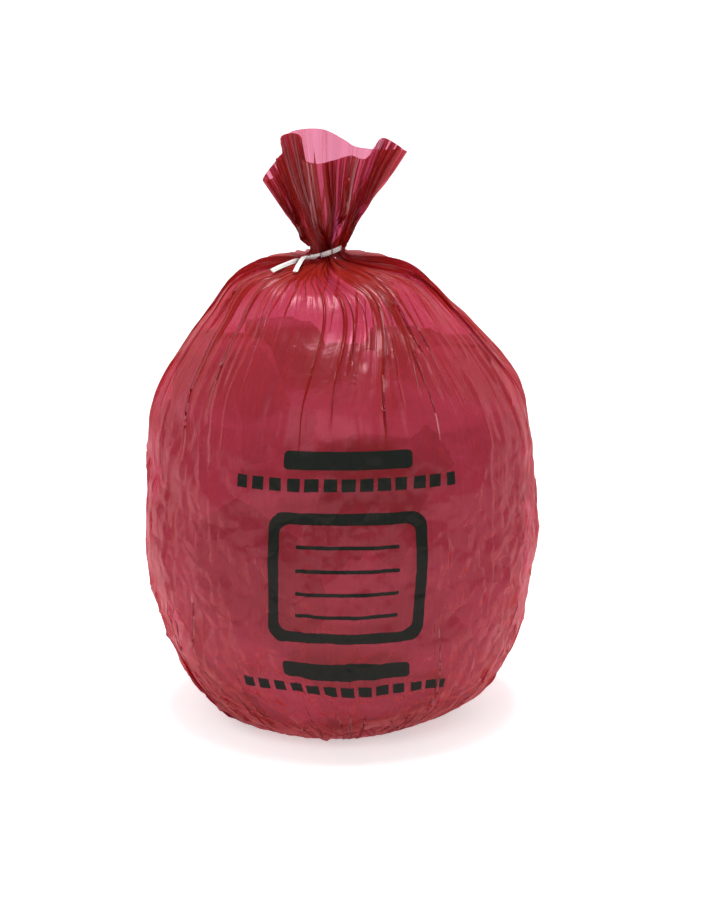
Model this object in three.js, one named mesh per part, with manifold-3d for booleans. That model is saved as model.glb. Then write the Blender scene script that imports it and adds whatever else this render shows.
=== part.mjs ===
// A filled clinical waste bag: a thin film bag, soft waste inside it, and a twist tie round its neck.
// Millimetres, +Z up. The origin is on the floor under the middle of the bag, and -Y is its front.
import * as THREE from "three";
import { mergeVertices } from "three/addons/utils/BufferGeometryUtils.js";
import Module from "manifold-3d";

// The bag as it is bought, laid flat
const flatWidth = 610;
const filmWall = 1.4; // one layer of film, drawn thick enough to be a sound solid

// The filled body, from the floor up
const restRadius = 90; // flat patch that the bag stands on
const heelSpread = 0.45; // how far out towards the belly the heel runs before it rises
const heelRise = 0.38; // where on the way up to the belly the side comes upright
const bellyHeight = 185;
const shoulderHeight = 285;
const shoulderTaper = 4; // how much narrower the shoulder is than the belly
const crownEdgeRadius = 92; // where the slope turns over into the top
const crownEdgeDrop = 24; // below the tie, as the next drop is
const crownDrop = 8;
const crownRadius = 32;
const crownTilt = 0.08; // the top falls towards the front, so the tie shows over it
const heelShift = 5; // the heavy lower part leans a little to the right
const neckShift = -14; // the neck is tied left of the middle

// The gathered neck and the tie's seat
const neckHeight = 462;
const neckRadius = 14.5;
const neckLength = 16; // straight stretch of gathered film under the tie
const neckBore = 1.2; // gap left in the middle of the gathers

// The open mouth above the tie
const mouthWall = 3.2; // film and its small folds, measured along the radius
const mouthPleatDepth = 2.4;
const mouthSpread = 0.85; // under 1, the mouth opens fast and then runs straighter

// Gathers on the crown and shoulder
const pleatCount = 18;
const pleatDepth = 5;

// Soft waste inside
const fillClearance = 0.35;
const fillHeadroom = 77; // empty space between the top of the heap and the tie
const fillEdgeShare = 0.45; // where the waste leaves the film, between the shoulder and its top
const heapLump = 14; // how far the top of the heap rises and falls
const heapShares = [0.9, 0.75, 0.5, 0.25];
const lumpDepth = 15; // of the hollows between the lumps that press against the film
const lumpSpacing = 72; // from the middle of a lump to the middle of the next hollow
const lumpFloor = 30; // the hollows reach their full depth this far off the floor

// The twist tie
const tieWidth = 4;
const tieFlat = 0.6; // thickness of its flat wings
const tieCore = 1.3; // thickness over its wire
const tieClearance = 0.3;
const tieRise = 0.32; // how steeply the band climbs to the right
const tieStem = 11; // twisted length standing out from the neck
const tieStemTurns = 1.5;
const tieKnotAngle = -62; // where the ends are twisted together, in degrees from the front
const tieFilmGap = 1.2; // the free ends lie this far off the gathers
const tieEndReach = 70; // how far from the neck's axis the left end comes
const tieShortReach = 58;
const tieEnds = [
  { degrees: -50, reach: tieEndReach },
  { degrees: -31, reach: tieShortReach },
];

const bodyRadius = flatWidth / Math.PI; // the tube's circumference is twice its flat width
const samplesPerPleat = 4;
const around = pleatCount * samplesPerPleat;
const startAngle = THREE.MathUtils.degToRad(20);

// The rim of the mouth, round the neck's axis from just right of the front:
// degrees from the front towards the right, distance from the axis, height above the tie
const rim = [
  [20, 22, 90], [38, 39, 96], [58, 44, 92], [65, 51, 103], [79, 61, 111], [93, 76, 97],
  [104, 73, 97], [120, 54, 97], [137, 42, 100], [151, 35, 105], [168, 29, 113], [187, 34, 116],
  [214, 41, 116], [232, 45, 112], [242, 47, 101], [252, 52, 85], [261, 62, 68], [266, 49, 73],
  [271, 53, 88], [277, 41, 96], [284, 44, 113], [298, 30, 114], [309, 31, 92], [341, 29, 88],
];

const smooth = (t) => THREE.MathUtils.smoothstep(t, 0, 1);
const angleOf = (i) => startAngle + (2 * Math.PI * i) / around;
const direction = (angle) => new THREE.Vector2(Math.sin(angle), -Math.cos(angle));

// The middle of the bag's section at a height
function middleAt(height) {
  const lean = heelShift * (1 - smooth(height / bellyHeight));
  const climb = THREE.MathUtils.clamp((height - shoulderHeight) / (crownHeight - shoulderHeight), 0, 1);
  return lean + neckShift * climb ** 2;
}

const crownEdgeHeight = neckHeight - crownEdgeDrop;
const fillTopHeight = neckHeight - fillHeadroom;
const fillEdgeHeight = THREE.MathUtils.lerp(shoulderHeight, fillTopHeight, fillEdgeShare);
const crownHeight = neckHeight - crownDrop;
const shoulderRadius = bodyRadius - shoulderTaper;
const v2 = (x, y) => new THREE.Vector2(x, y);

// The body's outline as stretches of (radius, height), each with how many steps it takes
function bodyStretches() {
  const slope = v2(crownEdgeRadius - shoulderRadius, crownEdgeHeight - shoulderHeight);
  const turn = slope.length() / 3;
  const along = v2(-0.65, 0.76); // the way the slope runs where it meets the crown
  const belly = new THREE.CubicBezierCurve(
    v2(restRadius, 0),
    v2(restRadius + (bodyRadius - restRadius) * heelSpread, 0),
    v2(bodyRadius, bellyHeight * heelRise),
    v2(bodyRadius, bellyHeight),
  );
  const side = new THREE.CubicBezierCurve(
    v2(bodyRadius, bellyHeight),
    v2(bodyRadius, bellyHeight + (shoulderHeight - bellyHeight) / 3),
    v2(shoulderRadius, shoulderHeight - (shoulderHeight - bellyHeight) / 3),
    v2(shoulderRadius, shoulderHeight),
  );
  const edge = v2(crownEdgeRadius, crownEdgeHeight);
  const taper = new THREE.CubicBezierCurve(
    v2(shoulderRadius, shoulderHeight),
    v2(shoulderRadius, shoulderHeight + turn * 0.8),
    edge.clone().addScaledVector(along, -turn),
    edge,
  );
  const crown = new THREE.CubicBezierCurve(
    edge,
    edge.clone().addScaledVector(along, (crownEdgeDrop - crownDrop) * 0.8),
    v2((crownEdgeRadius + crownRadius) / 2, crownHeight),
    v2(crownRadius, crownHeight),
  );
  return [[belly, 6], [side, 3], [taper, 6], [crown, 5]];
}

// Points along the outline, each with its outward direction and its share of the gathers
function bodyOutline() {
  const points = [];
  for (const [curve, steps] of bodyStretches()) {
    for (let k = points.length ? 1 : 0; k <= steps; k++) {
      const at = curve.getPoint(k / steps);
      const run = curve.getTangent(k / steps);
      const share = smooth((at.y - shoulderHeight) / (crownEdgeHeight - shoulderHeight));
      points.push({ at, out: v2(run.y, -run.x), share });
    }
  }
  return points;
}

const ringAt = (radius, height) =>
  Array.from({ length: around }, (_, i) => {
    const way = direction(angleOf(i)).multiplyScalar(radius);
    return new THREE.Vector3(middleAt(height) + way.x, way.y, height);
  });

// A gather's rise at a sample round the bag, from 0 to 1
const gather = (i) => {
  const height = 0.5 + 0.5 * Math.cos((2 * Math.PI * i) / samplesPerPleat);
  const uneven = 0.75 + 0.25 * Math.cos(3 * angleOf(i));
  return height * uneven;
};

// How far the waste falls back from the film at a place round the bag and at a height
function hollowAt(angle, height) {
  const count = Math.round((Math.PI * bodyRadius) / lumpSpacing);
  const climb = (Math.PI * height) / lumpSpacing;
  const main = Math.sin(count * angle + 0.6 * climb) * Math.cos(climb);
  const slanted = 0.6 * Math.sin((count - 3) * angle - climb);
  return lumpDepth * smooth(0.5 + (main + slanted) / 2) * smooth(height / lumpFloor);
}

const nowhere = () => 0;

function bodyRings(outline, offset, pleats, hollow = nowhere) {
  return outline.map(({ at, out, share }) =>
    ringAt(0, at.y).map((middle, i) => {
      const lift = offset + (pleats ? pleatDepth * share * gather(i) : 0) - hollow(angleOf(i), at.y);
      const way = direction(angleOf(i)).multiplyScalar(at.x + out.x * lift);
      const tilt = crownTilt * share * way.y;
      return new THREE.Vector3(middle.x + way.x, way.y, at.y + out.y * lift + tilt);
    }),
  );
}

// The rim as a closed curve through its points, sampled so that every point is kept
function rimRing() {
  const points = rim.map(([degrees, reach, rise]) => {
    const way = direction(THREE.MathUtils.degToRad(degrees)).multiplyScalar(reach);
    return new THREE.Vector3(neckShift + way.x, way.y, neckHeight + rise);
  });
  const curve = new THREE.CatmullRomCurve3(points, true, "centripetal");
  return Array.from({ length: around }, (_, i) => curve.getPoint(i / around));
}

// Rings of the mouth from the top of the neck to the rim, with the wall taken off inside
function mouthRings(steps, inset) {
  const top = rimRing();
  const foot = ringAt(neckRadius, neckHeight + neckLength / 2);
  const rings = [];
  for (let k = 1; k <= steps; k++) {
    const t = k / steps;
    rings.push(
      foot.map((low, i) => {
        const point = low.clone().lerp(top[i], t ** mouthSpread);
        point.z = THREE.MathUtils.lerp(low.z, top[i].z, t);
        const away = v2(point.x - neckShift, point.y);
        const fold = mouthPleatDepth * Math.sin(Math.PI * Math.min(t, 0.8)) * (gather(i) - 1);
        const wall = inset ? THREE.MathUtils.lerp(wallAtNeck, mouthWall, smooth(2 * t)) : 0;
        away.setLength(Math.max(away.length() + fold - wall, neckBore));
        return new THREE.Vector3(neckShift + away.x, away.y, point.z);
      }),
    );
  }
  return rings;
}

const wallAtNeck = neckRadius - neckBore;

// A closed surface through rings that start and end at a point on the axis
function loft(rings, first, last) {
  const count = rings[0].length;
  const positions = [...rings.flat(), first, last].flatMap((p) => [p.x, p.y, p.z]);
  const low = rings.length * count;
  const index = [];
  for (let i = 0; i < count; i++) {
    const next = (i + 1) % count;
    index.push(low, next, i);
    for (let k = 0; k + 1 < rings.length; k++) {
      const a = k * count + i;
      const b = k * count + next;
      index.push(a, b, b + count, a, b + count, a + count);
    }
    const end = (rings.length - 1) * count;
    index.push(low + 1, end + i, end + next);
  }
  const geometry = new THREE.BufferGeometry();
  geometry.setAttribute("position", new THREE.Float32BufferAttribute(positions, 3));
  geometry.setIndex(index);
  return geometry;
}

const onAxis = (height) => new THREE.Vector3(middleAt(height), 0, height);

// The film's inner face and the waste share the rings of the outline, so they stay clear of each other
function bagGeometry() {
  const outline = bodyOutline();
  const steps = 7;
  const neckLow = neckHeight - neckLength / 2;
  const neckHigh = neckHeight + neckLength / 2;
  const inside = bodyRings(outline, -filmWall, false).reverse();
  return loft(
    [
      ...bodyRings(outline, 0, true),
      ringAt(neckRadius, neckLow),
      ringAt(neckRadius, neckHigh),
      ...mouthRings(steps, false),
      ...mouthRings(steps, true).reverse(),
      ringAt(neckBore, neckHigh),
      ringAt(neckBore, crownHeight - filmWall),
      ...inside.map((ring) => liftOffFloor(ring, filmWall)),
    ],
    onAxis(0),
    onAxis(filmWall),
  );
}

// Soft waste: its lumps fill the film up to its edge, and its top is a low, uneven heap
function wasteGeometry() {
  const inset = filmWall + fillClearance;
  const touching = bodyOutline().filter(({ at }) => at.y <= fillEdgeHeight);
  const sides = bodyRings(touching, -inset, false, hollowAt).map((ring) => liftOffFloor(ring, inset));
  const edge = touching[touching.length - 1].at;
  const heap = heapShares.map((share) => {
    const height = fillTopHeight - (fillTopHeight - edge.y) * share ** 3;
    return ringAt(0, height).map((middle, i) => {
      const angle = angleOf(i);
      const reach = (edge.x - inset - hollowAt(angle, edge.y)) * share;
      const way = direction(angle).multiplyScalar(reach);
      const lump = Math.sin(3 * angle) * Math.cos(2 * angle + Math.PI * share);
      return new THREE.Vector3(middle.x + way.x, way.y, height + heapLump * lump * (1 - share));
    });
  });
  return loft([...sides, ...heap], onAxis(inset), onAxis(fillTopHeight));
}

const liftOffFloor = (ring, least) =>
  ring.map((p) => new THREE.Vector3(p.x, p.y, Math.max(p.z, least)));

// The tie's section as points of (across, out): flat wings with the wire's ridge down the middle
function tieSection() {
  const wing = tieFlat / 2;
  const core = tieCore / 2;
  const half = tieWidth / 2;
  const top = [v2(half, wing), v2(core, wing), v2(core / 2, core)];
  const left = [...top].reverse().map((p) => v2(-p.x, p.y));
  const upper = [...top, ...left];
  return [...upper, ...upper.map((p) => v2(-p.x, -p.y))];
}

// Carries a section along stations, each with its place, the way across and the way out
function sweep(section, stations, closed) {
  const rings = stations.map(({ at, across, out }) =>
    section.map((p) => at.clone().addScaledVector(across, p.x).addScaledVector(out, p.y)),
  );
  if (!closed) return loft(rings, stations[0].at, stations[stations.length - 1].at);
  const count = section.length;
  const index = [];
  rings.forEach((_, k) => {
    const here = k * count;
    const there = ((k + 1) % rings.length) * count;
    for (let i = 0; i < count; i++) {
      const next = (i + 1) % count;
      index.push(here + i, here + next, there + next, here + i, there + next, there + i);
    }
  });
  const geometry = new THREE.BufferGeometry();
  const positions = rings.flat().flatMap((p) => [p.x, p.y, p.z]);
  geometry.setAttribute("position", new THREE.Float32BufferAttribute(positions, 3));
  geometry.setIndex(index);
  return geometry;
}

const up = new THREE.Vector3(0, 0, 1);
const tieRadius = neckRadius + tieClearance + tieCore / 2;

// A point of the band at an angle from the front, on its own sloping ring
function bandAt(angle) {
  const way = direction(angle);
  const rise = tieRise * way.x * tieRadius;
  return {
    at: new THREE.Vector3(neckShift + way.x * tieRadius, way.y * tieRadius, neckHeight + rise),
    out: new THREE.Vector3(way.x, way.y, 0),
    across: up,
  };
}

// The twisted stretch, standing out from the neck
function stemStations() {
  const { at, out } = bandAt(THREE.MathUtils.degToRad(tieKnotAngle));
  const side = new THREE.Vector3().crossVectors(up, out);
  const steps = 14;
  return Array.from({ length: steps + 1 }, (_, k) => {
    const turn = (2 * Math.PI * tieStemTurns * k) / steps;
    const across = up.clone().multiplyScalar(Math.cos(turn)).addScaledVector(side, Math.sin(turn));
    return {
      at: at.clone().addScaledVector(out, (tieStem * k) / steps),
      across,
      out: new THREE.Vector3().crossVectors(out, across),
    };
  });
}

// How high the gathers of the crown reach at a place given from the neck's axis
function crownTopAt(way) {
  const reach = way.length();
  const crown = bodyOutline().filter(({ at }) => at.y >= crownEdgeHeight);
  const inner = Math.max(crown.findIndex(({ at }) => at.x <= reach), 1);
  const [a, b] = [crown[inner - 1].at, crown[inner].at];
  const height = THREE.MathUtils.mapLinear(reach, a.x, b.x, a.y, b.y);
  return height + pleatDepth + crownTilt * way.y;
}

// A free end, from the twist down to just above the gathers
function endStations({ degrees, reach }) {
  const stem = stemStations();
  const from = stem[stem.length - 1].at;
  const run = new THREE.Vector3().subVectors(from, stem[0].at).setLength(tieStem / 2);
  const way = direction(THREE.MathUtils.degToRad(degrees)).multiplyScalar(reach);
  const height = crownTopAt(way) + tieFilmGap + tieCore / 2;
  const tip = new THREE.Vector3(neckShift + way.x, way.y, height);
  const start = from.clone().addScaledVector(run, -0.2);
  const bend = from.clone().add(run);
  bend.z = Math.max(from.z, height) + tieFilmGap;
  const curve = new THREE.QuadraticBezierCurve3(start, bend, tip);
  const steps = 8;
  return Array.from({ length: steps + 1 }, (_, k) => {
    const ahead = curve.getTangent(k / steps);
    const across = new THREE.Vector3().crossVectors(up, ahead).normalize();
    return {
      at: curve.getPoint(k / steps),
      across,
      out: new THREE.Vector3().crossVectors(ahead, across),
    };
  });
}

const wasm = await Module();
wasm.setup();

function solid(geometry) {
  const merged = mergeVertices(geometry, 1e-4);
  return new wasm.Manifold(
    new wasm.Mesh({
      numProp: 3,
      vertProperties: merged.attributes.position.array,
      triVerts: new Uint32Array(merged.index.array),
    }),
  );
}

function geometryOf(manifold) {
  const mesh = manifold.getMesh();
  const geometry = new THREE.BufferGeometry();
  geometry.setAttribute("position", new THREE.BufferAttribute(mesh.vertProperties, 3));
  geometry.setIndex(new THREE.BufferAttribute(mesh.triVerts, 1));
  return geometry;
}

// One strip: the band round the neck, its twist and its two free ends
function tieGeometry() {
  const section = tieSection();
  const bandSteps = 48;
  const stations = Array.from({ length: bandSteps }, (_, k) => bandAt((2 * Math.PI * k) / bandSteps));
  const strips = [
    sweep(section, stations, true),
    sweep(section, stemStations(), false),
    ...tieEnds.map((end) => sweep(section, endStations(end), false)),
  ];
  return geometryOf(strips.map(solid).reduce((whole, strip) => whole.add(strip)));
}

const film = new THREE.MeshStandardMaterial({ color: 0xa83a50, roughness: 0.25, metalness: 0 });
const paper = new THREE.MeshStandardMaterial({ color: 0xf2efec, roughness: 0.6, metalness: 0 });
const waste = new THREE.MeshStandardMaterial({ color: 0xd8d2cc, roughness: 0.9, metalness: 0 });

function piece(name, geometry, material) {
  const mesh = new THREE.Mesh(geometry, material);
  mesh.name = name;
  return mesh;
}

const bag = new THREE.Group();
bag.add(piece("film_bag", bagGeometry(), film));
bag.add(piece("soft_waste", wasteGeometry(), waste));
bag.add(piece("twist_tie", tieGeometry(), paper));

export default bag;
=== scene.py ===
# A filled clinical waste bag: glossy translucent film over soft waste, closed by a twist tie
import math
import bpy
import numpy as np
from mathutils import Matrix, Vector, noise
from mathutils.bvhtree import BVHTree


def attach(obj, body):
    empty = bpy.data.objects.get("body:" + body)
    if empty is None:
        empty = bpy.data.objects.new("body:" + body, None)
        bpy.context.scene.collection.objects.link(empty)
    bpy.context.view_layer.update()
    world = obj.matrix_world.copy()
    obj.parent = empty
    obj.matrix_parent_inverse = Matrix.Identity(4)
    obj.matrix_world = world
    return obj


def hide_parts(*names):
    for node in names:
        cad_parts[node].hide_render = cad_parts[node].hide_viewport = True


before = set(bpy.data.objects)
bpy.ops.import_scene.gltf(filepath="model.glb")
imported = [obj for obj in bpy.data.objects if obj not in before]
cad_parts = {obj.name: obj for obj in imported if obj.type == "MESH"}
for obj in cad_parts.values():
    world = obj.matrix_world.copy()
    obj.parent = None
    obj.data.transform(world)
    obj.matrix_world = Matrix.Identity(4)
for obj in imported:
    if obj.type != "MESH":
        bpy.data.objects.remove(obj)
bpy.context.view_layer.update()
bpy.ops.object.select_all(action="DESELECT")
mm = 0.001

# what the bag is, in millimetres and degrees
bag = {
    "around": 1220,  # film round the tube, twice the 610 flat width
    "beltRadius": 194,
    # (radius, height) of the filled outline, from the bottom to the tie
    "outline": [
        (0, 0.6), (60, 0.6), (88, 0.8), (103, 4), (120, 12), (143, 28), (160, 46), (174, 70), (186, 107),
        (192.5, 150), (194.5, 191), (192.5, 240), (191, 274), (188, 298), (184, 314), (178, 331), (169, 347),
        (157, 363), (144.5, 379), (131, 395), (116, 411), (103, 427), (90, 439), (73, 448), (54, 452),
        (38, 453.5), (25, 455), (17, 458), (14.4, 462), (14.4, 467),
    ],
    # where the rows change their spacing: two distances from the axis, then a height
    "floorEdge": 88, "crownEdge": 90, "neckFoot": 456,
    "bellyHeight": 185,
    "shoulderHeight": 285,
    "crownHeight": 454,
    "heelShift": 5,
    # the sealed bottom pushes the film out, left of the front
    "toe": 20, "toeTop": 60, "toeTurn": -28, "toeSide": 0.35, "toeInner": 80,
    "neckShift": -14,
    "crownTilt": 0.08, "tiltFull": 438,  # the tilt, and the height from which it is full
    "tieHeight": 462,
    "neckRadius": 14.4,
    "neckCore": 3,
    # the rim from just right of the front: degrees, distance from the neck's axis, height above the tie
    "rim": [
        (20, 22, 90), (38, 39, 96), (58, 44, 92), (65, 51, 103), (79, 61, 111), (93, 76, 97),
        (104, 73, 97), (120, 54, 97), (137, 42, 100), (151, 35, 105), (168, 29, 113), (187, 34, 116),
        (214, 41, 116), (232, 45, 112), (242, 47, 101), (252, 52, 85), (261, 62, 68), (266, 49, 73),
        (271, 53, 88), (277, 41, 96), (284, 44, 113), (298, 30, 114), (309, 31, 92), (341, 29, 88),
    ],
    "rimStart": 20,
    "mouthSpread": 0.9,
    "mouthFolds": [(7, 1.3, 2.4), (12, 0.4, 1.5)],  # folds round the mouth: how many, turned by, how deep
}

rows = {"floor": 9, "body": 112, "crown": 26, "neck": 8, "mouth": 32}
ringSteps = 720


def smooth(t):
    t = np.clip(t, 0, 1)
    return t * t * (3 - 2 * t)


def curveThrough(points, count, closed=False):
    # a smooth curve through the points, sampled evenly in its parameter
    p = np.array(points, float)
    if closed:
        p = np.vstack([p[-2:], p, p[:3]])
    else:
        p = np.vstack([2 * p[0] - p[1], p, 2 * p[-1] - p[-2]])
    gaps = np.maximum(np.linalg.norm(np.diff(p, axis=0), axis=1), 1e-6) ** 0.5
    knots = np.concatenate([[0], np.cumsum(gaps)])
    first, last = (2, len(p) - 3) if closed else (1, len(p) - 2)
    if closed:
        place = np.arange(count) / count * (last - first) + first
    else:
        place = np.linspace(first, last, count)
    k = np.minimum(place.astype(int), last - 1)
    t = knots[k] + (place - k) * (knots[k + 1] - knots[k])

    def part(a, b, pa, pb):
        share = ((t - knots[a]) / (knots[b] - knots[a]))[:, None]
        return pa + (pb - pa) * share

    a1 = part(k - 1, k, p[k - 1], p[k])
    a2 = part(k, k + 1, p[k], p[k + 1])
    a3 = part(k + 1, k + 2, p[k + 1], p[k + 2])
    b1 = part(k - 1, k + 1, a1, a2)
    b2 = part(k, k + 2, a2, a3)
    return part(k, k + 1, b1, b2)


def lengthsAlong(points, closed=False):
    ring = np.vstack([points, points[:1]]) if closed else points
    return np.concatenate([[0], np.cumsum(np.linalg.norm(np.diff(ring, axis=0), axis=1))])


def middleAt(height):
    climb = (height - bag["shoulderHeight"]) / (bag["crownHeight"] - bag["shoulderHeight"])
    lean = bag["heelShift"] * (1 - smooth(height / bag["bellyHeight"]))
    return lean + bag["neckShift"] * np.clip(climb, 0, 1) ** 2


def direction(angle):
    return np.stack([np.sin(angle), -np.cos(angle)], axis=-1)


# the smooth surface that the pleats' edges reach, as rings of points with their outward normals
def bodyRings():
    fine = curveThrough(bag["outline"], 4000)
    run = lengthsAlong(fine)
    floorRun = np.interp(bag["floorEdge"], fine[:400, 0], run[:400])
    crownRun = np.interp(-bag["crownEdge"], -fine[2000:, 0], run[2000:])
    neckRun = np.interp(bag["neckFoot"], fine[2000:, 1], run[2000:])
    steps = np.concatenate([
        np.linspace(4, floorRun, rows["floor"], endpoint=False),
        np.linspace(floorRun, crownRun, rows["body"], endpoint=False),
        np.linspace(crownRun, neckRun, rows["crown"], endpoint=False),
        np.linspace(neckRun, run[-1], rows["neck"]),
    ])
    radius = np.interp(steps, run, fine[:, 0])
    height = np.interp(steps, run, fine[:, 1])
    slope = np.stack([np.gradient(radius, steps), np.gradient(height, steps)], axis=1)
    slope /= np.linalg.norm(slope, axis=1)[:, None]
    way = direction(np.arange(ringSteps) / ringSteps * 2 * np.pi)
    points = np.zeros((len(steps), ringSteps, 3))
    normals = np.zeros_like(points)
    climb = (height - bag["shoulderHeight"]) / (bag["tiltFull"] - bag["shoulderHeight"])
    tilt = bag["crownTilt"] * smooth(climb)
    toeWay = direction(np.radians(bag["toeTurn"]))
    ahead = smooth((way @ toeWay - bag["toeSide"]) / (1 - bag["toeSide"]))
    for i, (r, z) in enumerate(zip(radius, height)):
        reach = r + bag["toe"] * ahead * (1 - smooth(z / bag["toeTop"])) * smooth(r / bag["toeInner"])
        points[i, :, 0] = middleAt(z) + way[:, 0] * reach
        points[i, :, 1] = way[:, 1] * reach
        points[i, :, 2] = z + tilt[i] * way[:, 1] * r
        normals[i, :, :2] = way * slope[i, 1]
        normals[i, :, 2] = -slope[i, 0]
    return points, normals, steps


def mouthRings(foot, footRun):
    angles = np.radians([d for d, _, _ in bag["rim"]])
    reach = np.array([r for _, r, _ in bag["rim"]], float)[:, None]
    rise = np.array([h for _, _, h in bag["rim"]], float)
    rimPoints = np.hstack([direction(angles) * reach, (bag["tieHeight"] + rise)[:, None]])
    rimPoints[:, 0] += bag["neckShift"]
    loop = curveThrough(rimPoints, ringSteps, closed=True)
    turn = np.radians(bag["rimStart"]) + np.arange(ringSteps) / ringSteps * 2 * np.pi
    low = np.zeros((ringSteps, 3))
    low[:, :2] = direction(turn) * bag["neckRadius"]
    low[:, 0] += bag["neckShift"]
    low[:, 2] = foot
    count = rows["mouth"]
    points = np.zeros((count, ringSteps, 3))
    fold = sum(deep * np.sin(many * turn + shift) for many, shift, deep in bag["mouthFolds"])
    away = direction(turn)
    for k in range(count):
        t = (k + 1) / count
        points[k] = low + (loop - low) * t ** bag["mouthSpread"]
        points[k, :, :2] += away * (fold * t)[:, None]
        points[k, :, 2] = low[:, 2] + (loop[:, 2] - low[:, 2]) * t
    across = np.roll(points, -3, axis=1) - np.roll(points, 3, axis=1)
    up = np.gradient(np.concatenate([low[None], points]), axis=0)[1:]
    normals = np.cross(across, up)
    normals /= np.linalg.norm(normals, axis=2)[:, :, None]
    # the rings start at the front, as the body's do
    shift = int(round(bag["rimStart"] / 360 * ringSteps))
    lift = np.linalg.norm(loop - low, axis=1).mean()
    runs = footRun + lift * (np.arange(count) + 1) / count
    return np.roll(points, shift, axis=1), np.roll(normals, shift, axis=1), runs


bodyPoints, bodyNormals, bodyRuns = bodyRings()
tieRun = bodyRuns[-1]
mouthPoints, mouthNormals, mouthRuns = mouthRings(bodyPoints[-1, 0, 2], tieRun)
envelope = np.concatenate([bodyPoints, mouthPoints])
outward = np.concatenate([bodyNormals, mouthNormals])
runs = np.concatenate([bodyRuns, mouthRuns])
rowCount = len(runs)
bodyCount = len(bodyRuns)
rowHeights = envelope[:, :, 2].mean(axis=1)
perimeters = np.array([lengthsAlong(ring, closed=True)[-1] for ring in envelope])
mouthPart = np.clip((np.arange(rowCount) - bodyCount + 1) / rows["mouth"], 0, 1)
print("outline: film path to the tie", round(float(tieRun)), "and to the rim", round(float(runs[-1])))

# how the loose film is taken up
pleats = {
    "count": 88,
    "seed": 23,
    "unevenness": 0.55,
    "groups": (15, 14, 17, 13, 16, 13),  # pleats that lean the same way, round the bag from the back
    "longShare": 0.75,
    "longStarts": (272, 385),  # heights where the long ones start, then the short ones
    "shortStarts": (385, 440),
    "slope": 0.13,  # how fast a pleat widens on its way up
    "strength": (0.5, 1.7),
    "lowShare": 0.45,
    "lowTops": (30, 165),  # heights where the bottom's gathers end
    "lowSlope": 0.11,
    "sealWidth": 26,  # degrees each side of the front where the bottom seal's creases fan out
    "backFlat": 17,  # degrees each side of the back where the mouth's film is spread
    "wall": 0.7,  # half the width of a pleat's foot
    "mostScale": 1.6,
    "smoothing": 5,  # rows over which a pleat's run is evened out
}
perPleat = 6
columns = pleats["count"] * perPleat
rng = np.random.default_rng(pleats["seed"])


def evened(table):
    # a running mean down the rows, with the ends kept
    reach = pleats["smoothing"]
    weights = np.exp(-(np.arange(-3 * reach, 3 * reach + 1) / reach) ** 2)
    weights /= weights.sum()
    padded = np.pad(table, ((3 * reach, 3 * reach), (0, 0)), mode="edge")
    return np.stack([np.convolve(column, weights, mode="valid") for column in padded.T], axis=1)


def planPleats():
    count = pleats["count"]
    widths = 1 + pleats["unevenness"] * rng.uniform(-1, 1, count)
    widths *= bag["around"] / widths.sum()
    turned = (np.cumsum(widths) - widths / 2) / bag["around"] * 360
    fromFront = np.abs(turned - 180)
    isLong = rng.uniform(0, 1, count) < pleats["longShare"]
    longStarts = rng.uniform(*pleats["longStarts"], count)
    shortStarts = rng.uniform(*pleats["shortStarts"], count)
    low = rng.uniform(0, 1, count) < pleats["lowShare"]
    lowTops = np.where(low, rng.uniform(*pleats["lowTops"], count), 25)
    nearSeal = fromFront < pleats["sealWidth"]
    ways = np.concatenate([np.full(n, 1.0 if k % 2 else -1.0) for k, n in enumerate(pleats["groups"])])
    facing = (ways > 0) & (np.roll(ways, -1) < 0)
    crowded = facing | np.roll(facing, 1)
    return {
        "widths": widths,
        "caps": widths * np.where(crowded, 0.26, 0.485),
        "starts": np.where(isLong, longStarts, shortStarts),
        "strength": rng.uniform(*pleats["strength"], count),
        "lowTops": np.where(nearSeal, rng.uniform(22, 60, count), lowTops),
        "lowStrength": np.where(nearSeal, 1.6, rng.uniform(0.4, 1.4, count)),
        "rimShare": np.where(fromFront > 180 - pleats["backFlat"], 0.12, rng.uniform(0.9, 1.1, count)),
        "ways": ways,
    }


plan = planPleats()
atNeck = np.exp(-(((runs - tieRun) / 26) ** 2))
lean = np.radians(np.interp(rowHeights, [0, 60, 250, 300, 400, 440, 452], [8, 11, 11, 11, 16, 30, 48]))
lean = np.where(mouthPart > 0, np.radians(58 - 36 * smooth(mouthPart * 1.3)), lean)
lean = lean + (np.pi / 2 - lean) * atNeck


def wantedHeights():
    z = rowHeights[:, None]
    caps = plan["caps"]
    wanted = np.clip(z - plan["starts"], 0, None) * pleats["slope"] * plan["strength"]
    crown = smooth((z - 432) / 20)
    wanted = wanted * (1 - crown) + caps * crown
    below = np.clip(plan["lowTops"] - z, 0, None) * pleats["lowSlope"] * plan["lowStrength"]
    under = smooth((125 - np.abs(envelope[:, :1, 1])) / 40)
    wanted = np.where(z < 200, below * (1 - under) + 0.6 * caps * under, wanted)
    spread = smooth((mouthPart[:, None] - 0.15) / 0.85)
    inMouth = caps * ((1 - spread) + spread * plan["rimShare"])
    return np.where(mouthPart[:, None] > 0, inMouth, wanted)


def takeUp():
    # how tall each pleat is, so that the film's width is used on every row as far as the pleats can
    wanted = wantedHeights()
    tall = np.zeros_like(wanted)
    for i in range(rowCount):
        film = bag["around"]
        if rowHeights[i] < 60:
            film *= smooth((perimeters[i] / bag["around"] + 0.05) / 0.5)
        if wanted[i].sum() <= 0:
            continue
        mean = 0
        for _ in range(8):
            base = perimeters[i] - 2 * np.pi * mean * math.sin(lean[i]) * abs(outward[i, 0, 1])
            total = max(film - max(base, 2 * np.pi * bag["neckCore"]), 0) / 2
            scale = min(total / wanted[i].sum(), pleats["mostScale"])
            for _ in range(4):
                heights = np.minimum(wanted[i] * scale, plan["caps"])
                scale = min(scale * total / max(heights.sum(), 1e-6), pleats["mostScale"])
            tall[i] = heights
            mean = heights.mean()
    return evened(tall)


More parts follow.
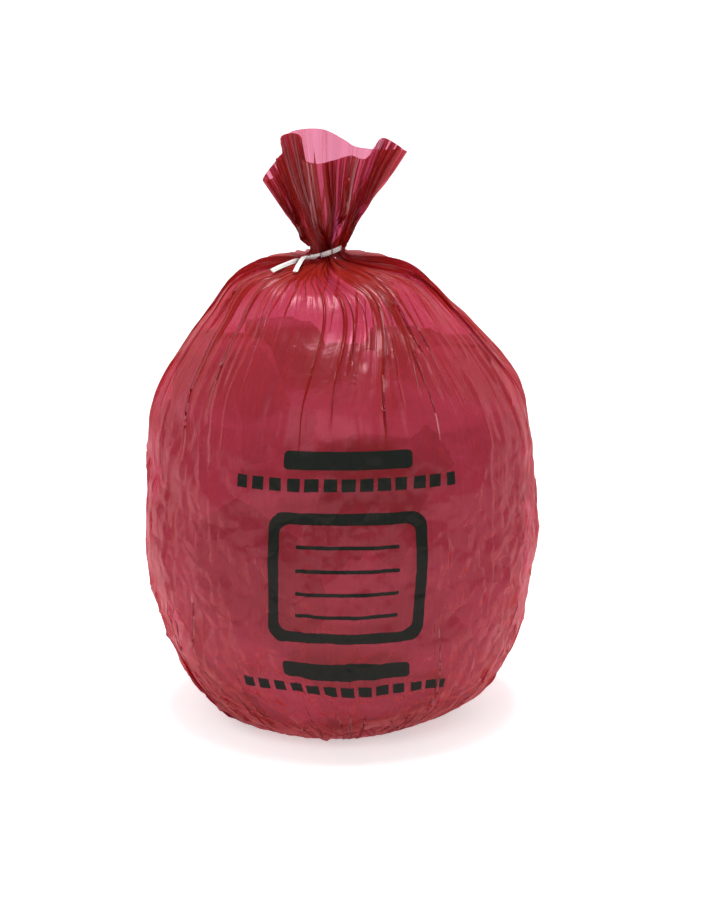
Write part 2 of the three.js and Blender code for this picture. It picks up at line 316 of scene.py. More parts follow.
tall = takeUp()
print("pleats: tallest", round(float(tall.max()), 1))


def footTurns():
    # where each pleat stands round every row, as a share of the way round from the back
    starts = np.cumsum(plan["widths"]) - plan["widths"] / 2
    pitches = plan["widths"] - 2 * tall
    pitches /= pitches.sum(axis=1)[:, None]
    turns = np.cumsum(pitches, axis=1) - pitches / 2
    turns -= (turns - starts / bag["around"]).mean(axis=1)[:, None]
    return evened(turns), starts


def droppedRing(i, turns):
    # the pleats stand on a surface as far inside the outline as they are tall
    h = tall[i]
    nearby = (np.roll(h, 2) + 2 * np.roll(h, 1) + 3 * h + 2 * np.roll(h, -1) + np.roll(h, -2)) / 9
    lengths = lengthsAlong(envelope[i], closed=True)
    ringTurns = (lengths[:-1] / lengths[-1] + 0.5) % 1
    drop = np.interp(ringTurns, turns, nearby, period=1) * math.sin(lean[i])
    ring = envelope[i] - outward[i] * drop[:, None]
    if i >= bodyCount - 30:
        # in the neck the feet come no nearer to the axis than the core
        axis = np.array([bag["neckShift"], 0])
        way = envelope[i, :, :2] - axis
        way /= np.linalg.norm(way, axis=1)[:, None]
        inward = ((ring[:, :2] - axis) * way).sum(axis=1)
        ring[:, :2] += way * np.maximum(bag["neckCore"] - inward, 0)[:, None]
    return ring


# the pleated sheet: every row has a foot, a rise, an edge and a return for each pleat, and a panel between two
def filmPoints():
    count = pleats["count"]
    points = np.zeros((rowCount, columns, 3))
    normals = np.zeros_like(points)
    filmAt = np.zeros((rowCount, columns))
    turns, starts = footTurns()
    widths = plan["widths"]
    for i in range(rowCount):
        h = tall[i]
        ring = droppedRing(i, turns[i])
        lengths = lengthsAlong(ring, closed=True)
        perimeter = lengths[-1]
        feet = turns[i] * perimeter
        nextFoot = np.append(feet[1:], feet[0] + perimeter)
        half = np.minimum(np.maximum(h, widths / perPleat * 2), widths * 0.49)
        foot = np.minimum(pleats["wall"], (nextFoot - feet) * 0.25)
        edge = np.maximum(half - h, 0)
        arcs = np.zeros((count, perPleat))
        rises = np.zeros((count, perPleat))
        film = np.zeros((count, perPleat))
        for n, t in enumerate([-1, -0.5, 0, 0.5, 1]):
            out = np.maximum(h - abs(t) * half, 0)
            flat = np.sign(t) * np.maximum(abs(t) * half - h, 0)
            arcs[:, n] = feet + foot * t + flat + plan["ways"] * out * math.cos(lean[i])
            rises[:, n] = out * math.sin(lean[i])
            film[:, n] = starts + t * half
        low = feet + foot + edge
        high = nextFoot - np.roll(foot, -1) - np.roll(edge, -1)
        arcs[:, 5] = (low + high) / 2
        nextStart = np.append(starts[1:], starts[0] + bag["around"])
        film[:, 5] = (starts + half + nextStart - np.roll(half, -1)) / 2
        # the film's own edge-to-edge line is at the back
        arcs = (arcs.reshape(-1) + perimeter / 2) % perimeter
        place = np.interp(arcs, lengths, np.arange(ringSteps + 1))
        k = place.astype(int) % ringSteps
        part = (place - np.floor(place))[:, None]
        out = outward[i][k] * (1 - part) + outward[i][(k + 1) % ringSteps] * part
        points[i] = ring[k] * (1 - part) + ring[(k + 1) % ringSteps] * part
        points[i] += out * rises.reshape(-1)[:, None]
        normals[i] = out
        filmAt[i] = film.reshape(-1)
    return points, normals, filmAt


points, normalsAt, filmAt = filmPoints()

# the lumps of waste that press against the film
lumps = {"depth": 15, "spacing": 72, "floor": 30, "edge": 330}

# the film's own unevenness over them
swells = {
    "follow": 0.22,  # how far the film sinks into the hollows between lumps
    "fadeFrom": 280,  # height where the pull of the neck starts to smooth them out
    "size": 130, "rise": 5,
    "facetSize": 74, "facetRise": 1.5, "facetEdge": 0.2,
    "smallSize": 30, "smallRise": 0.7, "smallEdge": 0.22,
}
creases = {
    "seed": 5, "count": 620, "rise": (0.5, 2.0), "width": (3.2, 7), "length": (22, 120), "most": 3.2,
    "pulls": 260,  # long upright ones on the shoulder
    "pullRise": (0.4, 1.3), "pullLength": (60, 190), "pullWidth": (2.8, 5), "pullLow": 330,
    # millimetres of film: where they start and end, and where they turn upright
    "low": 112, "belowTie": 90, "pullBelowTie": 60, "uprightFrom": 330, "uprightOver": 110,
    "fadeFrom": 425, "fadeOver": 25,  # heights where they fade into the neck
}


def hollowAt(angle, height):
    # how far the waste falls back from the film
    count = round(math.pi * bag["beltRadius"] / lumps["spacing"])
    climb = math.pi * height / lumps["spacing"]
    main = np.sin(count * angle + 0.6 * climb) * np.cos(climb)
    slanted = 0.6 * np.sin((count - 3) * angle - climb)
    return lumps["depth"] * smooth(0.5 + (main + slanted) / 2) * smooth(height / lumps["floor"])


def noiseAt(where, size, seed):
    shift = Vector((seed * 7.31, seed * 3.17, seed * 5.93))
    values = [noise.noise(Vector(p) + shift) for p in where.reshape(-1, 3) / size]
    return np.array(values).reshape(where.shape[:-1])


def foldsAt(where, size, edge, seed):
    # 1 on the borders between flats of about that size, falling to 0 beside them
    shift = Vector((seed * 4.17, seed * 6.31, seed * 2.93))
    near = [noise.voronoi(Vector(p) + shift)[0] for p in where.reshape(-1, 3) / size]
    gap = np.array([d[1] - d[0] for d in near]).reshape(where.shape[:-1])
    return np.clip(1 - gap / edge, 0, 1)


def swellRise():
    heights = points[:, :, 2]
    angles = np.arctan2(points[:, :, 0] - middleAt(heights), -points[:, :, 1])
    filled = 1 - smooth((heights - swells["fadeFrom"]) / 80)
    rise = swells["rise"] * noiseAt(points, swells["size"], 1)
    rise -= swells["follow"] * hollowAt(angles, heights)
    rise += swells["facetRise"] * foldsAt(points, swells["facetSize"], swells["facetEdge"], 2)
    rise += swells["smallRise"] * foldsAt(points, swells["smallSize"], swells["smallEdge"], 3)
    return rise * filled * smooth(heights / 40)


def creaseRise():
    pick = np.random.default_rng(creases["seed"])
    around = bag["around"]
    v = np.repeat(runs[:, None], columns, axis=1)
    total = np.zeros_like(filmAt)
    for n in range(creases["count"] + creases["pulls"]):
        cu = pick.uniform(0, around)
        bend = pick.normal(0, 0.1)
        if n < creases["count"]:
            cv = pick.uniform(creases["low"], tieRun - creases["belowTie"])
            sideways = abs(abs(cu / around - 0.5) - 0.25) < 0.09
            upright = smooth((cv - creases["uprightFrom"]) / creases["uprightOver"])
            spread = (1.0 if sideways else 0.7) * (1 - upright) + 0.08
            tilt = pick.normal(0, spread)
            length = pick.uniform(*creases["length"])
            width = pick.uniform(*creases["width"])
            rise = pick.uniform(*creases["rise"]) * pick.choice([1, 1, -1]) * (1.25 if sideways else 0.8)
        else:
            cv = pick.uniform(creases["pullLow"], tieRun - creases["pullBelowTie"])
            tilt = pick.normal(0, 0.035)
            length = pick.uniform(*creases["pullLength"])
            width = pick.uniform(*creases["pullWidth"])
            rise = pick.uniform(*creases["pullRise"])
            bend *= 0.3
        du = (filmAt - cu + around / 2) % around - around / 2
        dv = v - cv
        near = (np.abs(du) < length) & (np.abs(dv) < length)
        if not near.any():
            continue
        along = du[near] * math.sin(tilt) + dv[near] * math.cos(tilt)
        across = du[near] * math.cos(tilt) - dv[near] * math.sin(tilt) - bend * along**2 / length
        fade = np.clip(1 - (2 * along / length) ** 2, 0, 1)
        total[near] += rise * fade * np.clip(1 - np.abs(across) / width, 0, 1)
    total = np.clip(total, -creases["most"], creases["most"])
    faded = smooth((rowHeights - creases["fadeFrom"]) / creases["fadeOver"])
    onBody = np.where(np.arange(rowCount) < bodyCount, 1 - faded, 0)
    return total * onBody[:, None]


points = points + normalsAt * (swellRise() + creaseRise())[:, :, None]
points[:, :, 2] = np.maximum(points[:, :, 2], 0.25)


def makeObject(name, vertices, faces):
    mesh = bpy.data.meshes.new(name)
    mesh.from_pydata(vertices.tolist(), [], faces)
    mesh.update()
    made = bpy.data.objects.new(name, mesh)
    bpy.context.scene.collection.objects.link(made)
    mesh.shade_smooth()
    return made


def makeFilm():
    flat = points.reshape(-1, 3) * mm
    last = len(flat)
    vertices = np.vstack([flat, [[middleAt(0) * mm, 0, 0.0004]]])
    faces = []
    filmUvs = []
    around = bag["around"]

    def uvOf(i, j):
        u = filmAt[i, j % columns] + (around if j >= columns else 0)
        return (u / around, runs[i] / around)

    for i in range(rowCount - 1):
        for j in range(columns):
            k = (j + 1) % columns
            faces.append((i * columns + j, i * columns + k, (i + 1) * columns + k, (i + 1) * columns + j))
            filmUvs.extend([uvOf(i, j), uvOf(i, j + 1), uvOf(i + 1, j + 1), uvOf(i + 1, j)])
    for j in range(columns):
        faces.append((last, (j + 1) % columns, j))
        filmUvs.extend([(filmAt[0, j] / around, 0), uvOf(0, j + 1), uvOf(0, j)])
    made = makeObject("film", vertices, faces)
    layer = made.data.uv_layers.new(name="film")
    layer.data.foreach_set("uv", np.array(filmUvs, np.float32).reshape(-1))
    return made


film = makeFilm()
print("film:", len(film.data.polygons), "faces")

# soft waste: a heap of crumpled paper and cloth seen through the film
waste = {
    "inset": 2.4, "gap": 2.2, "around": 300, "sideRings": 72, "topRings": 44,
    "edge": 318, "top": 345, "topLump": 8,
    # what stands up out of the heap: across, back, half width, half depth, turned by, height of its top
    "items": [
        (-80, -92, 22, 30, 0.3, 392), (34, -108, 13, 20, -0.2, 388), (-122, 5, 40, 60, 0.2, 378),
        (118, 0, 42, 62, -0.3, 374), (-58, 84, 34, 44, 0.5, 380), (10, 104, 26, 30, -0.3, 352),
        (66, 62, 30, 38, 0.6, 377), (-8, 12, 26, 34, 0.9, 368),
    ],
    "itemSlope": 14,
    "crumpleSize": 42, "crumple": 5, "crumpleEdge": 0.34,
    "fineSize": 17, "fine": 1.6, "fineEdge": 0.3,
}


def withItems(x, y, height):
    # square things with round corners that stand out of the heap's top
    for across, back, halfWide, halfDeep, turn, top in waste["items"]:
        dx = ((x - across) * math.cos(turn) + (y - back) * math.sin(turn)) / halfWide
        dy = ((y - back) * math.cos(turn) - (x - across) * math.sin(turn)) / halfDeep
        past = ((dx**4 + dy**4) ** 0.25 - 1) * min(halfWide, halfDeep)
        height = height + np.maximum(top - height, 0) * smooth(0.5 - past / waste["itemSlope"])
    return height


def wasteRings():
    fine = curveThrough(bag["outline"], 2000)
    side = fine[(fine[:, 1] < waste["edge"]) & (fine[:, 0] > 20)]
    side = side[:: max(len(side) // waste["sideRings"], 1)]
    angles = np.arange(waste["around"]) / waste["around"] * 2 * np.pi
    way = direction(angles)
    rings = []
    for r, z in side:
        rings.append((way * (r - waste["inset"] - hollowAt(angles, z))[:, None], np.full(len(angles), z)))
    edgeRadius, edgeHeight = side[-1]
    for share in np.linspace(0.97, 0.03, waste["topRings"]):
        reach = (edgeRadius - waste["inset"] - hollowAt(angles, edgeHeight)) * share
        lump = np.sin(3 * angles) * np.cos(2 * angles + np.pi * share)
        height = waste["top"] - (waste["top"] - edgeHeight) * share**3 + waste["topLump"] * lump * (1 - share)
        height = withItems(way[:, 0] * reach, way[:, 1] * reach, height)
        rings.append((way * reach[:, None], height))
    body = np.zeros((len(rings), len(angles), 3))
    for i, (flat, height) in enumerate(rings):
        body[i, :, :2] = flat
        body[i, :, 0] += middleAt(height)
        body[i, :, 2] = height
    return body


def heldInside(body, centre):
    # the waste never comes through the film
    surface = BVHTree.FromObject(film, bpy.context.evaluated_depsgraph_get())
    start = Vector(centre * mm)
    for p in body.reshape(-1, 3):
        ahead = Vector(p * mm) - start
        hit = surface.ray_cast(start, ahead.normalized())
        if hit[0] is not None:
            most = (hit[0] - start).length - waste["gap"] * mm
            if ahead.length > most:
                p[:] = np.array(start + ahead * (most / ahead.length)) / mm
    body[:, :, 2] = np.maximum(body[:, :, 2], waste["inset"])
    return body


def makeWaste():
    body = wasteRings()
    centre = np.array([0, 0, 170.0])
    out = body - centre
    out /= np.linalg.norm(out, axis=2)[:, :, None]
    dip = waste["crumple"] * (1 - foldsAt(body, waste["crumpleSize"], waste["crumpleEdge"], 4))
    dip = dip + waste["fine"] * (1 - foldsAt(body, waste["fineSize"], waste["fineEdge"], 5))
    body = heldInside(body - out * dip[:, :, None], centre)
    count = waste["around"]
    rings = len(body)
    bottom = [middleAt(0), 0, waste["inset"]]
    vertices = np.vstack([body.reshape(-1, 3), [bottom, body[-1].mean(axis=0)]]) * mm
    faces = []
    for i in range(rings - 1):
        for j in range(count):
            k = (j + 1) % count
            faces.append((i * count + j, i * count + k, (i + 1) * count + k, (i + 1) * count + j))
    for j in range(count):
        k = (j + 1) % count
        faces.append((rings * count, k, j))
        faces.append((rings * count + 1, (rings - 1) * count + j, (rings - 1) * count + k))
    return makeObject("waste", vertices, faces)


heap = makeWaste()
print("waste:", len(heap.data.polygons), "faces")

# the twist tie: a paper strip with a wire down its middle, bridged from section to section
tie = {
    "width": 4.6, "flat": 0.55, "wire": 1.25, "clearance": 0.3, "rise": 0.32, "bandSteps": 40,
    "knotAngle": -62, "stem": 9, "stemTurns": 1.5, "stemSteps": 14, "apart": 0.75,
    "endSteps": 10, "arch": 2.2,
    # each free end's tip, the way its flat side faces, and its side of the twist
    "ends": [
        {"tip": (-65.5, -43.5, 449.5), "faces": (0.25, -0.72, 0.64), "side": 1},
        {"tip": (-43.0, -50.5, 449.8), "faces": (0.0, -0.45, 0.89), "side": -1},
    ],
}


def stationAt(place, ahead, out):
    ahead = Vector(ahead).normalized()
    out = Vector(out)
    out = (out - ahead * out.dot(ahead)).normalized()
    return {"place": Vector(place), "across": out.cross(ahead), "out": out, "ahead": ahead}


def bandAt(angle):
    radius = bag["neckRadius"] + tie["clearance"] + tie["wire"] / 2
    x, y = direction(angle) * radius
    place = Vector((bag["neckShift"] + x, y, bag["tieHeight"] + tie["rise"] * x))
    return place, Vector((math.sin(angle), -math.cos(angle), 0))


def bandStations():
    stations = []
    for k in range(tie["bandSteps"]):
        angle = 2 * math.pi * k / tie["bandSteps"]
        place, out = bandAt(angle)
        after, _ = bandAt(angle + 0.05)
        stations.append(stationAt(place, after - place, out))
    return stations


def endStations(end):
    knot, out = bandAt(math.radians(tie["knotAngle"]))
    up = Vector((0, 0, 1))
    sideways = up.cross(out)
    route = []
    for k in range(tie["stemSteps"] + 1):
        t = k / tie["stemSteps"]
        turn = 2 * math.pi * tie["stemTurns"] * t
        around = (up * math.cos(turn) + sideways * math.sin(turn)) * end["side"]
        route.append((knot + out * (tie["stem"] * t) + around * tie["apart"], around))
    start, startOut = route[-1]
    tip = Vector(end["tip"])
    middle = (start + tip) / 2 + Vector((0, 0, tie["arch"]))
    for k in range(1, tie["endSteps"] + 1):
        t = k / tie["endSteps"]
        place = start * (1 - t) ** 2 + middle * (2 * t * (1 - t)) + tip * t**2
        route.append((place, startOut.lerp(Vector(end["faces"]), min(t * 2.5, 1))))
    stations = []
    for k, (place, facing) in enumerate(route):
        before = route[max(k - 1, 0)][0]
        after = route[min(k + 1, len(route) - 1)][0]
        stations.append(stationAt(place, after - before, facing))
    return stations


def addSection(station, wide, corners):
    turned = Matrix([station["across"], station["out"], station["ahead"]]).transposed()
    bpy.ops.mesh.primitive_circle_add(
        vertices=corners, radius=wide / 2 * mm, location=station["place"] * mm, rotation=turned.to_euler()
    )


def flattenSections(mesh, stations, share, corners):
    # each round section is pressed flat along its own thickness
    for v in mesh.vertices:
        station = stations[v.index // corners]
        away = (v.co - station["place"] * mm).dot(station["out"])
        v.co -= station["out"] * (away * (1 - share))


def bridgeSections(count, corners, closed):
    # each pair of neighbouring sections in turn
    mesh = bpy.context.edit_object.data
    pairs = [(k, k + 1) for k in range(count - 1)] + ([(count - 1, 0)] if closed else [])
    for a, b in pairs:
        bpy.ops.mesh.select_all(action="DESELECT")
        bpy.ops.object.mode_set(mode="OBJECT")
        for k in (a, b):
            chosen = set(range(k * corners, (k + 1) * corners))
            for edge in mesh.edges:
                if edge.vertices[0] in chosen and edge.vertices[1] in chosen:
                    edge.select = True
            for v in chosen:
                mesh.vertices[v].select = True
        bpy.ops.object.mode_set(mode="EDIT")
        bpy.ops.mesh.bridge_edge_loops()
    if not closed:
        for k in (0, count - 1):
            bpy.ops.mesh.select_all(action="DESELECT")
            bpy.ops.object.mode_set(mode="OBJECT")
            for v in range(k * corners, (k + 1) * corners):
                mesh.vertices[v].select = True
            bpy.ops.object.mode_set(mode="EDIT")
            bpy.ops.mesh.edge_face_add()


def sweptPiece(name, stations, wide, thick, corners, closed):
    bpy.ops.object.select_all(action="DESELECT")
    bpy.ops.mesh.primitive_circle_add(vertices=3, radius=mm)
    made = bpy.context.active_object
    made.name = name
    bpy.ops.object.mode_set(mode="EDIT")
    bpy.ops.mesh.select_mode(type="VERT")
    bpy.ops.mesh.select_all(action="SELECT")
    bpy.ops.mesh.delete(type="VERT")
    for station in stations:
        addSection(station, wide, corners)
    bpy.ops.object.mode_set(mode="OBJECT")
    flattenSections(made.data, stations, thick / wide, corners)
    bpy.ops.object.mode_set(mode="EDIT")
    bridgeSections(len(stations), corners, closed)
    bpy.ops.mesh.select_all(action="SELECT")
    bpy.ops.mesh.normals_make_consistent(inside=False)
    bpy.ops.object.mode_set(mode="OBJECT")
    return made


def makeTie():
    parts = []
    routes = [(bandStations(), True)] + [(endStations(end), False) for end in tie["ends"]]
    for stations, closed in routes:
        parts.append(sweptPiece("strip", stations, tie["width"], tie["flat"], 12, closed))
        parts.append(sweptPiece("wire", stations, tie["wire"], tie["wire"], 8, closed))
    bpy.ops.object.select_all(action="DESELECT")
    for part in parts:
        part.select_set(True)
    bpy.context.view_layer.objects.active = parts[0]
    bpy.ops.object.join()
    made = bpy.context.active_object
    made.name = "tie"
    bpy.ops.object.shade_smooth_by_angle(angle=math.radians(50))
    return made


strip = makeTie()
print("tie:", len(strip.data.polygons), "faces")


# materials
def newMaterial(name):
    made = bpy.data.materials.new(name)
    made.use_nodes = True
    made.node_tree.nodes.clear()
    return made, made.node_tree


def addNode(tree, kind, inputs=None, **settings):
    node = tree.nodes.new(kind)
    for key, value in settings.items():
        setattr(node, key, value)
    for key, value in (inputs or {}).items():
        if isinstance(value, bpy.types.NodeSocket):
            tree.links.new(value, node.inputs[key])
        else:
            node.inputs[key].default_value = value
    return node


def calc(tree, kind, a, b=0.0):
    return addNode(tree, "ShaderNodeMath", {0: a, 1: b}, operation=kind).outputs[0]


filmLook = {
    "tint": (0.73, 0.295, 0.465, 1),
    "body": (0.55, 0.035, 0.022, 1),
    "cover": (0.31, 0.43),  # least and most, in streaks along the film
    "coverAside": 0.55,  # more of it where the film is seen along its face
    "shine": (1.0, 0.62, 0.70, 1),
    "roughness": 0.2,
    "faceOn": 0.02,
    "edgeOn": 0.3,
    "ink": (0.012, 0.015, 0.012, 1),
    "inkMatt": 0.7,  # the share of the shine that the ink takes away
    "relief": 0.0012,  # metres
    "streaks": (260, 3.5), "streakRise": 0.5,  # how many round and along the film, how high
    "wrinkles": 46, "wrinkleRise": 0.5,
    "facets": [(22, 9.0), (56, 3.6)],  # how many round the film, how high
    "facetsFrom": 350, "facetsTo": 470,  # millimetres of film from the bottom, where they end
    "pulls": (64, 2.0), "pullRise": 0.22, "pullWidth": 0.03, "pullCover": 0.15,  # thin lines up to the neck
    "pullsFrom": 430, "pullsTo": 640,  # millimetres of film from the bottom, where they come in
}

# the black print on the front, in millimetres from its own middle: across, up, half width, half height
ink = {
    "middle": (8, 189),  # across the front, height on the filled bag
    "bars": [(0, 108, 61, 9), (0, -99, 61, 9)],
    "rows": [(0, 85, 107, 6), (0, -122, 107, 6)],
    "rowPitch": 17,
    "rowMark": 5.8,
    "frame": (0, -4, 75, 63),
    "frameLine": 11,
    "corner": 16,
    "ruled": [(0, 27, 48, 1.8), (0, 5, 48, 1.8), (0, -17, 48, 1.8), (0, -39, 48, 1.8)],
}


def boxMask(tree, x, y, box, corner):
    # 1 inside a box with round corners, 0 outside it
    cx, cy, halfWide, halfTall = box
    dx = calc(tree, "SUBTRACT", calc(tree, "ABSOLUTE", calc(tree, "SUBTRACT", x, cx)), halfWide - corner)
    dy = calc(tree, "SUBTRACT", calc(tree, "ABSOLUTE", calc(tree, "SUBTRACT", y, cy)), halfTall - corner)
    outX = calc(tree, "MAXIMUM", dx, 0.0)
    outY = calc(tree, "MAXIMUM", dy, 0.0)
    squares = calc(tree, "ADD", calc(tree, "MULTIPLY", outX, outX), calc(tree, "MULTIPLY", outY, outY))
    inside = calc(tree, "MINIMUM", calc(tree, "MAXIMUM", dx, dy), 0.0)
    return calc(tree, "LESS_THAN", calc(tree, "ADD", calc(tree, "SQRT", squares), inside), corner)


def inkMask(tree, axes):
    around = bag["around"]
    middleRun = float(np.interp(ink["middle"][1], rowHeights[:bodyCount], runs[:bodyCount]))
    x = calc(tree, "SUBTRACT", calc(tree, "MULTIPLY", axes.outputs[0], around), around / 2 + ink["middle"][0])
    y = calc(tree, "SUBTRACT", calc(tree, "MULTIPLY", axes.outputs[1], around), middleRun)
    marks = calc(tree, "LESS_THAN", calc(tree, "PINGPONG", x, ink["rowPitch"] / 2), ink["rowMark"])
    cx, cy, wide, tallHalf = ink["frame"]
    line = ink["frameLine"]
    outer = boxMask(tree, x, y, (cx, cy, wide, tallHalf), ink["corner"])
    inner = boxMask(tree, x, y, (cx, cy, wide - line, tallHalf - line), ink["corner"] - line / 2)
    mask = calc(tree, "SUBTRACT", outer, inner)
    for box in ink["bars"]:
        mask = calc(tree, "MAXIMUM", mask, boxMask(tree, x, y, box, 4.0))
    for box in ink["ruled"]:
        mask = calc(tree, "MAXIMUM", mask, boxMask(tree, x, y, box, 1.0))
    for box in ink["rows"]:
        mask = calc(tree, "MAXIMUM", mask, calc(tree, "MULTIPLY", boxMask(tree, x, y, box, 1.0), marks))
    return mask


def stretchedNoise(tree, uv, scale, detail):
    # noise drawn out along the film
    stretched = addNode(tree, "ShaderNodeMapping", {"Vector": uv.outputs[0], "Scale": (*scale, 1)})
    settings = {"Vector": stretched.outputs[0], "Scale": 1.0, "Detail": detail}
    return addNode(tree, "ShaderNodeTexNoise", settings).outputs[0]


def pullLines(tree, uv, upper):
    # thin lines where a drawn out noise crosses its middle
    noisy = stretchedNoise(tree, uv, filmLook["pulls"], 2.0)
    away = calc(tree, "ABSOLUTE", calc(tree, "SUBTRACT", noisy, 0.5))
    near = calc(tree, "SUBTRACT", 1.0, calc(tree, "DIVIDE", away, filmLook["pullWidth"]))
    return calc(tree, "MULTIPLY", calc(tree, "MAXIMUM", near, 0.0), upper)


def filmRelief(tree, uv, streaks, lines, lower):
    # flats with sharp borders, wrinkles, streaks and the lines towards the neck
    wrinkles = addNode(
        tree, "ShaderNodeTexNoise",
        {"Vector": uv.outputs[0], "Scale": filmLook["wrinkles"], "Detail": 2.0, "Distortion": 1.2},
    )
    relief = calc(tree, "MULTIPLY", wrinkles.outputs[0], filmLook["wrinkleRise"])
    relief = calc(tree, "ADD", relief, calc(tree, "MULTIPLY", streaks, filmLook["streakRise"]))
    for count, rise in filmLook["facets"]:
        flats = addNode(
            tree, "ShaderNodeTexVoronoi", {"Vector": uv.outputs[0], "Scale": count}, feature="DISTANCE_TO_EDGE"
        )
        height = calc(tree, "MULTIPLY", flats.outputs["Distance"], rise)
        relief = calc(tree, "ADD", relief, calc(tree, "MULTIPLY", height, lower))
    return calc(tree, "ADD", relief, lines)


def bandOf(tree, along, start, end):
    # 0 before the first place along the film and 1 past the second
    return addNode(tree, "ShaderNodeMapRange", {"Value": along, "From Min": start, "From Max": end}).outputs[0]


def filmMaterial():
    made, tree = newMaterial("crimson film")
    uv = addNode(tree, "ShaderNodeUVMap", uv_map="film")
    axes = addNode(tree, "ShaderNodeSeparateXYZ", {0: uv.outputs[0]})
    along = calc(tree, "MULTIPLY", axes.outputs[1], bag["around"])
    upper = bandOf(tree, along, filmLook["pullsFrom"], filmLook["pullsTo"])
    lower = calc(tree, "SUBTRACT", 1.0, bandOf(tree, along, filmLook["facetsFrom"], filmLook["facetsTo"]))
    streaks = stretchedNoise(tree, uv, filmLook["streaks"], 3.0)
    pulls = pullLines(tree, uv, upper)
    lines = calc(tree, "MULTIPLY", pulls, filmLook["pullRise"])
    cover = addNode(
        tree, "ShaderNodeMapRange",
        {"Value": streaks, "From Min": 0.3, "From Max": 0.7, "To Min": filmLook["cover"][0],
         "To Max": filmLook["cover"][1]},
    )
    relief = filmRelief(tree, uv, streaks, lines, lower)
    bump = addNode(
        tree, "ShaderNodeBump", {"Height": relief, "Strength": 1.0, "Distance": filmLook["relief"]}
    )
    bent = {"Normal": bump.outputs[0]}
    clear = addNode(tree, "ShaderNodeBsdfTransparent", {"Color": filmLook["tint"]})
    diffuse = addNode(tree, "ShaderNodeBsdfDiffuse", {"Color": filmLook["body"], **bent})
    through = addNode(tree, "ShaderNodeBsdfTranslucent", {"Color": filmLook["body"], **bent})
    haze = addNode(tree, "ShaderNodeMixShader", {0: 0.5, 1: diffuse.outputs[0], 2: through.outputs[0]})
    facing = addNode(tree, "ShaderNodeLayerWeight", {"Blend": 0.5, **bent})
    aside = calc(tree, "POWER", facing.outputs["Facing"], 2.0)
    hazeShare = calc(tree, "ADD", cover.outputs[0], calc(tree, "MULTIPLY", aside, filmLook["coverAside"]))
    hazeShare = calc(tree, "ADD", hazeShare, calc(tree, "MULTIPLY", pulls, filmLook["pullCover"]))
    sheet = addNode(tree, "ShaderNodeMixShader", {0: hazeShare, 1: clear.outputs[0], 2: haze.outputs[0]})
    black = addNode(tree, "ShaderNodeBsdfDiffuse", {"Color": filmLook["ink"], **bent})
    mask = inkMask(tree, axes)
    printed = addNode(tree, "ShaderNodeMixShader", {0: mask, 1: sheet.outputs[0], 2: black.outputs[0]})
    shine = addNode(
        tree, "ShaderNodeBsdfGlossy",
        {"Color": filmLook["shine"], "Roughness": filmLook["roughness"], **bent},
    )
    steep = calc(tree, "POWER", facing.outputs["Facing"], 4.0)
    share = calc(tree, "ADD", calc(tree, "MULTIPLY", steep, filmLook["edgeOn"]), filmLook["faceOn"])
    matt = calc(tree, "SUBTRACT", 1.0, calc(tree, "MULTIPLY", mask, filmLook["inkMatt"]))
    share = calc(tree, "MULTIPLY", share, matt)
    coated = addNode(tree, "ShaderNodeMixShader", {0: share, 1: printed.outputs[0], 2: shine.outputs[0]})
    addNode(tree, "ShaderNodeOutputMaterial", {0: coated.outputs[0]})
    return made


wasteLook = {
    "cells": 10.0, "dark": (0.32, 0.29, 0.27, 1), "light": (0.76, 0.70, 0.66, 1),
    "creases": 70.0, "creaseRise": 0.003, "roughness": 0.85,
}


def wasteMaterial():
    made, tree = newMaterial("crumpled waste")
    where = addNode(tree, "ShaderNodeTexCoord").outputs["Object"]
    cells = addNode(tree, "ShaderNodeTexVoronoi", {"Vector": where, "Scale": wasteLook["cells"]})
    shade = addNode(tree, "ShaderNodeValToRGB", {0: cells.outputs["Color"]})
    shade.color_ramp.elements[0].color = wasteLook["dark"]
    shade.color_ramp.elements[1].color = wasteLook["light"]
    creased = addNode(
        tree, "ShaderNodeTexNoise", {"Vector": where, "Scale": wasteLook["creases"], "Detail": 5.0}
    )
    bump = addNode(
        tree, "ShaderNodeBump",
        {"Height": creased.outputs[0], "Strength": 0.6, "Distance": wasteLook["creaseRise"]},
    )
    skin = addNode(
        tree, "ShaderNodeBsdfPrincipled",
        {"Base Color": shade.outputs[0], "Roughness": wasteLook["roughness"], "Normal": bump.outputs[0]},
    )
    addNode(tree, "ShaderNodeOutputMaterial", {0: skin.outputs[0]})
    return made


tieLook = {"paper": (0.84, 0.82, 0.79, 1), "shadow": (0.62, 0.60, 0.58, 1), "roughness": 0.45}


def tieMaterial():
    made, tree = newMaterial("coated paper")
    where = addNode(tree, "ShaderNodeTexCoord").outputs["Object"]
    fibres = addNode(tree, "ShaderNodeTexNoise", {"Vector": where, "Scale": 900.0, "Detail": 3.0})
    shade = addNode(tree, "ShaderNodeValToRGB", {0: fibres.outputs[0]})
    shade.color_ramp.elements[0].position = 0.3
    shade.color_ramp.elements[0].color = tieLook["shadow"]
    shade.color_ramp.elements[1].position = 0.55
    shade.color_ramp.elements[1].color = tieLook["paper"]
    bump = addNode(tree, "ShaderNodeBump", {"Height": fibres.outputs[0], "Strength": 0.4, "Distance": 0.0003})
    skin = addNode(
        tree, "ShaderNodeBsdfPrincipled",
        {"Base Color": shade.outputs[0], "Roughness": tieLook["roughness"], "Normal": bump.outputs[0]},
    )
    addNode(tree, "ShaderNodeOutputMaterial", {0: skin.outputs[0]})
    return made


film.data.materials.append(filmMaterial())
heap.data.materials.append(wasteMaterial())
strip.data.materials.clear()
strip.data.materials.append(tieMaterial())
print("materials: film, waste, tie")

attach(film, "root")
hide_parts("film_bag")
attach(heap, "root")
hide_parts("soft_waste")
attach(strip, "root")
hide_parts("twist_tie")
print("pieces: declared")

